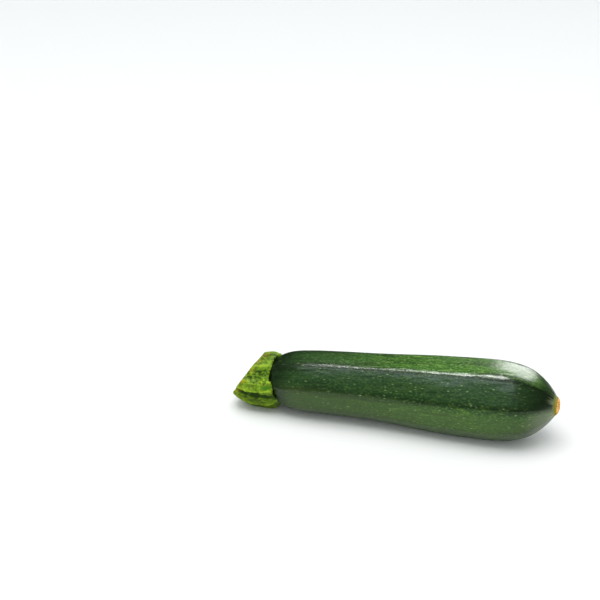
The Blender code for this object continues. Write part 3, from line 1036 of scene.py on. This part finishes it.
on_ridge = add_node(tree, "ShaderNodeMapRange", {
    0: ridge, 1: RIDGE_EDGE[0], 2: RIDGE_EDGE[1], 3: RIPPLE_STRENGTH[0], 4: RIPPLE_STRENGTH[1]})
ripple = add_node(tree, "ShaderNodeBump", {
    "Height": field["film"], "Distance": RIPPLE_HEIGHT, "Strength": on_ridge.outputs[0]})
pores = add_node(tree, "ShaderNodeBump", {
    "Height": field["speckle"], "Distance": PORE_HEIGHT, "Strength": PORE_STRENGTH,
    "Normal": ripple.outputs[0]})
dull = add_node(tree, "ShaderNodeMapRange", {
    0: field["marbling"], 1: NOISE_LOW, 2: NOISE_HIGH, 3: RIND_ROUGHNESS[0], 4: RIND_ROUGHNESS[1]})
feed(shader, {
    "Normal": pores.outputs[0], "Roughness": dull.outputs[0], "IOR": 1.45, "Specular IOR Level": 0.08,
    "Coat Weight": 0.6, "Coat Roughness": WAX_ROUGHNESS, "Coat IOR": 1.38,
    "Coat Normal": ripple.outputs[0]})
fruit.data.materials.append(skin)
print("the fruit wears", skin.name)
# %% [markdown]
# ## Stem rind and cut
# The stem is tough rind, not waxed: yellow-green on the cords, with a painted highlight on them,
# darker in the furrows, with painted shade in them, and ochre where it has begun to dry along the
# cut. Its sheen is broad. The cut face is pale flesh round a greener core, dotted with the ends of
# darker strands.

# %% Fields of the stem
STEM_PATTERNS = (
    ("blotch", (6.0, 2.6), 3.0, 0.0),
    ("fibre", (5.0, 1.0), 2.0, 13.0),
    ("spot", (1.9, 1.3), 2.0, 29.0),
)
STRAND_PATTERN = ("strand", (1.1, 1.1), 2.0, 5.0)

rind, tree, shader = new_material("fresh_courgette_stem")
grain = add_node(tree, "ShaderNodeAttribute", attribute_name="grain").outputs["Vector"]
height, rib, face, from_edge, radius_share, patch_share = [
    add_node(tree, "ShaderNodeAttribute", attribute_name=name).outputs["Fac"]
    for name in ("relief", "rib", "cut_face", "from_cut", "cut_radius", "smooth_patch")
]
place_in_space = add_node(tree, "ShaderNodeTexCoord").outputs["Object"]
up = add_node(tree, "ShaderNodeSeparateXYZ", {0: place_in_space}).outputs[2]
field = noise_fields(tree, grain, STEM_PATTERNS)
strand = noise_fields(tree, place_in_space, (STRAND_PATTERN,))["strand"]
print("stem patterns:", ", ".join(field), "and strand")

# %% [markdown]
# The cut face and the rind are painted apart, and the stored measure of the cut chooses between
# them. On the rind the relief itself steers the main colours: a cord is always light, its own paler
# green with a painted highlight, and a furrow always dark, its own darker green with painted shade.
# The underside is darker and more olive, with dark blotches.

# %% Stem colours
STEM_FLESH = "cdcb92"
STEM_CORE = "b9c07c"
STEM_STRAND = "8d9250"
STEM_MID = "64881c"
STEM_CREST_AND_HIGHLIGHT = "98b62c"
STEM_FURROW_AND_SHADE = "203d0c"
STEM_OLIVE = "60701e"
STEM_PATCH = "3c7018"
STEM_UNDER = "46560f"
STEM_DRY = "a2901e"

flesh = paint(tree, linear(STEM_FLESH), (
    (STEM_CORE, 0.8, (radius_share, 0.5, 0.2, 0.0)),
    (STEM_STRAND, 0.7, (strand, 0.52, 0.68, 0.0), (radius_share, 0.4, 0.6, 0.2)),
))
outside = paint(tree, linear(STEM_MID), (
    (STEM_OLIVE, 0.7, (field["blotch"], 0.5, 0.35, 0.0)),
    # Painted highlight on the cords, over their own paler green.
    (STEM_CREST_AND_HIGHLIGHT, 0.95, (height, 0.2, 1.4, 0.0)),
    (STEM_CREST_AND_HIGHLIGHT, 0.65, (field["spot"], 0.52, 0.66, 0.0)),
    # Painted shade in the furrows, over their own darker green.
    (STEM_FURROW_AND_SHADE, 0.95, (height, 0.1, -1.2, 0.0)),
    (STEM_FURROW_AND_SHADE, 0.7, (field["fibre"], 0.46, 0.3, 0.0), (rib, 0.9, 0.4, 0.3)),
    (STEM_FURROW_AND_SHADE, 0.7, (field["spot"], 0.46, 0.34, 0.0), (rib, 0.9, 0.4, 0.45)),
    (STEM_PATCH, 0.85, (patch_share, 0.25, 0.75, 0.0)),
    (STEM_UNDER, 0.5, (up, 15 * MM, 6 * MM, 0.0)),
    (STEM_FURROW_AND_SHADE, 0.75, (field["blotch"], 0.52, 0.36, 0.0), (up, 15 * MM, 11 * MM, 0.0)),
    (STEM_DRY, 0.9, (from_edge, 4.5 * MM, 0.5 * MM, 0.0), (field["blotch"], 0.46, 0.66, 0.05)),
))
colour = add_node(tree, "ShaderNodeMix", {0: face, 6: outside, 7: flesh}, data_type="RGBA").outputs[2]
feed(shader, {"Base Color": colour})
print("stem nodes:", len(tree.nodes))

# %% [markdown]
# Unwaxed rind has a broad, patchy sheen. Its finest fibres are a bump, drawn about twice as wide
# as real ones, or they wouldn't show.

# %% Gloss of the stem
STEM_ROUGHNESS = (0.36, 0.55)
FIBRE_HEIGHT, FIBRE_STRENGTH = 0.15 * MM, 0.6

fibres = add_node(tree, "ShaderNodeBump", {
    "Height": field["fibre"], "Distance": FIBRE_HEIGHT, "Strength": FIBRE_STRENGTH})
dull = add_node(tree, "ShaderNodeMapRange", {
    0: field["blotch"], 1: NOISE_LOW, 2: NOISE_HIGH, 3: STEM_ROUGHNESS[0], 4: STEM_ROUGHNESS[1]})
feed(shader, {
    "Normal": fibres.outputs[0], "Roughness": dull.outputs[0], "IOR": 1.42, "Specular IOR Level": 0.11})
stem.data.materials.append(rind)
print("the stem wears", rind.name)
# %% [markdown]
# ## Cork
# Cork is dry and quite dull: orange-tan, paler on its high parts and brown in the cracks and the
# pit. Its sloping side is still alive, so it is yellow-green like the ring of skin round it. Its
# crumbs are a bump and pale specks, drawn coarser than real ones, or they wouldn't show.

# %% Cork material
CORK_TAN = "e9ab4e"
CORK_PALE = "f6d488"
CORK_CRACK = "8a5422"
CORK_PIT = "8a5a22"
CORK_EDGE = "857c24"
CORK_PATTERN = ("speck", (0.9, 0.7), 3.0, 0.0)
SPECK_HEIGHT, SPECK_STRENGTH = 0.2 * MM, 0.7

cork, tree, shader = new_material("healed_cork")
grain = add_node(tree, "ShaderNodeAttribute", attribute_name="grain").outputs["Vector"]
height, radius_share = [
    add_node(tree, "ShaderNodeAttribute", attribute_name=name).outputs["Fac"]
    for name in ("relief", "radius")
]
speck = noise_fields(tree, grain, (CORK_PATTERN,))["speck"]
colour = paint(tree, linear(CORK_TAN), (
    (CORK_PALE, 0.8, (speck, 0.5, 0.7, 0.0)),
    (CORK_CRACK, 0.9, (height, -0.1, -0.7, 0.0)),
    (CORK_PIT, 0.8, (radius_share, 0.36, 0.12, 0.0)),
    (CORK_EDGE, 1.0, (radius_share, 0.81, 0.92, 0.0)),
))
specks = add_node(tree, "ShaderNodeBump", {
    "Height": speck, "Distance": SPECK_HEIGHT, "Strength": SPECK_STRENGTH})
feed(shader, {"Base Color": colour, "Normal": specks.outputs[0], "Roughness": 0.72, "IOR": 1.4})
scar.data.materials.append(cork)
print("the scar wears", cork.name)
# %% [markdown]
# ## Handing the pieces over
# Nothing on a courgette moves, so all three ride on its one body. Each says which CAD solid it
# stands for and which slot its finish belongs to.

# %% Hand over
SMOOTH_UNDER_DEG = 40
PIECES = ((fruit, "fruit", "skin"), (stem, "stem", "stem"), (scar, "blossom_scar", "scar"))
for piece, node, slot in PIECES:
    bpy.ops.object.select_all(action="DESELECT")
    bpy.context.view_layer.objects.active = piece
    piece.select_set(True)
    bpy.ops.object.shade_smooth_by_angle(angle=math.radians(SMOOTH_UNDER_DEG))
    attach(piece, "root")
    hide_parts(node)
    print(piece.name, "stands for", node)
